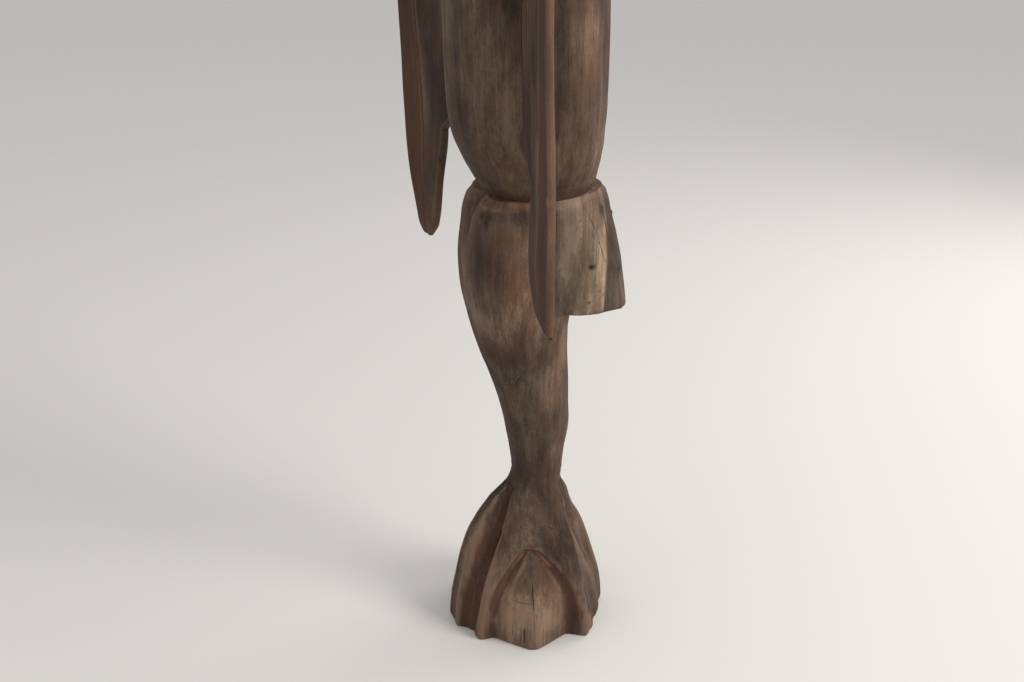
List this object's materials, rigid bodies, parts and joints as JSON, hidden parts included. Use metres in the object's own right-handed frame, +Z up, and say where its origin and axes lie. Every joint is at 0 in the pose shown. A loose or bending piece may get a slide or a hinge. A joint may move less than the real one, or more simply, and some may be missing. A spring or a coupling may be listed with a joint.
{
  "type": "carved wooden bird figure",
  "caption": "Tall weathered hardwood bird carving on one clawed foot, with two hanging board wings, a tail block and a hooked beak.",
  "frame": {"origin": "middle of the foot's flat underside", "axes": "+Z up, -Y the way the bird faces, +X towards its left wing"},
  "size_m": [0.6, 0.3552, 1.5543],
  "materials": {
    "weathered_wood": "weathered, unpainted, open grain",
    "wing_wood": "weathered, unpainted, red brown in the grooves",
    "dowel_wood": "bare, glued in",
    "dark_wood": "dark polished hardwood",
    "rusted_iron": "rusted"
  },
  "bodies": {
    "root": {"head": "weathered_wood", "left_eye": "dark_wood", "left_feather_dowel_1": "dowel_wood", "left_feather_dowel_2": "dowel_wood", "left_wing_dowel_1": "dowel_wood", "left_wing_dowel_2": "dowel_wood", "left_wing_dowel_3": "dowel_wood", "left_wing_inner_board": "wing_wood", "left_wing_outer_board": "wing_wood", "leg_and_foot": "weathered_wood", "lower_beak": "wing_wood", "neck_dowel": "dowel_wood", "right_eye": "dark_wood", "right_feather_dowel_1": "dowel_wood", "right_feather_dowel_2": "dowel_wood", "right_wing_dowel_1": "dowel_wood", "right_wing_dowel_2": "dowel_wood", "right_wing_dowel_3": "dowel_wood", "right_wing_inner_board": "wing_wood", "right_wing_outer_board": "wing_wood", "tail_block": "weathered_wood", "tail_dowel_1": "dowel_wood", "tail_dowel_2": "dowel_wood", "tail_nail_1": "rusted_iron", "tail_nail_2": "rusted_iron", "torso": "weathered_wood", "upper_beak": "wing_wood", "waist_dowel": "dowel_wood"}
  },
  "joints": []
}
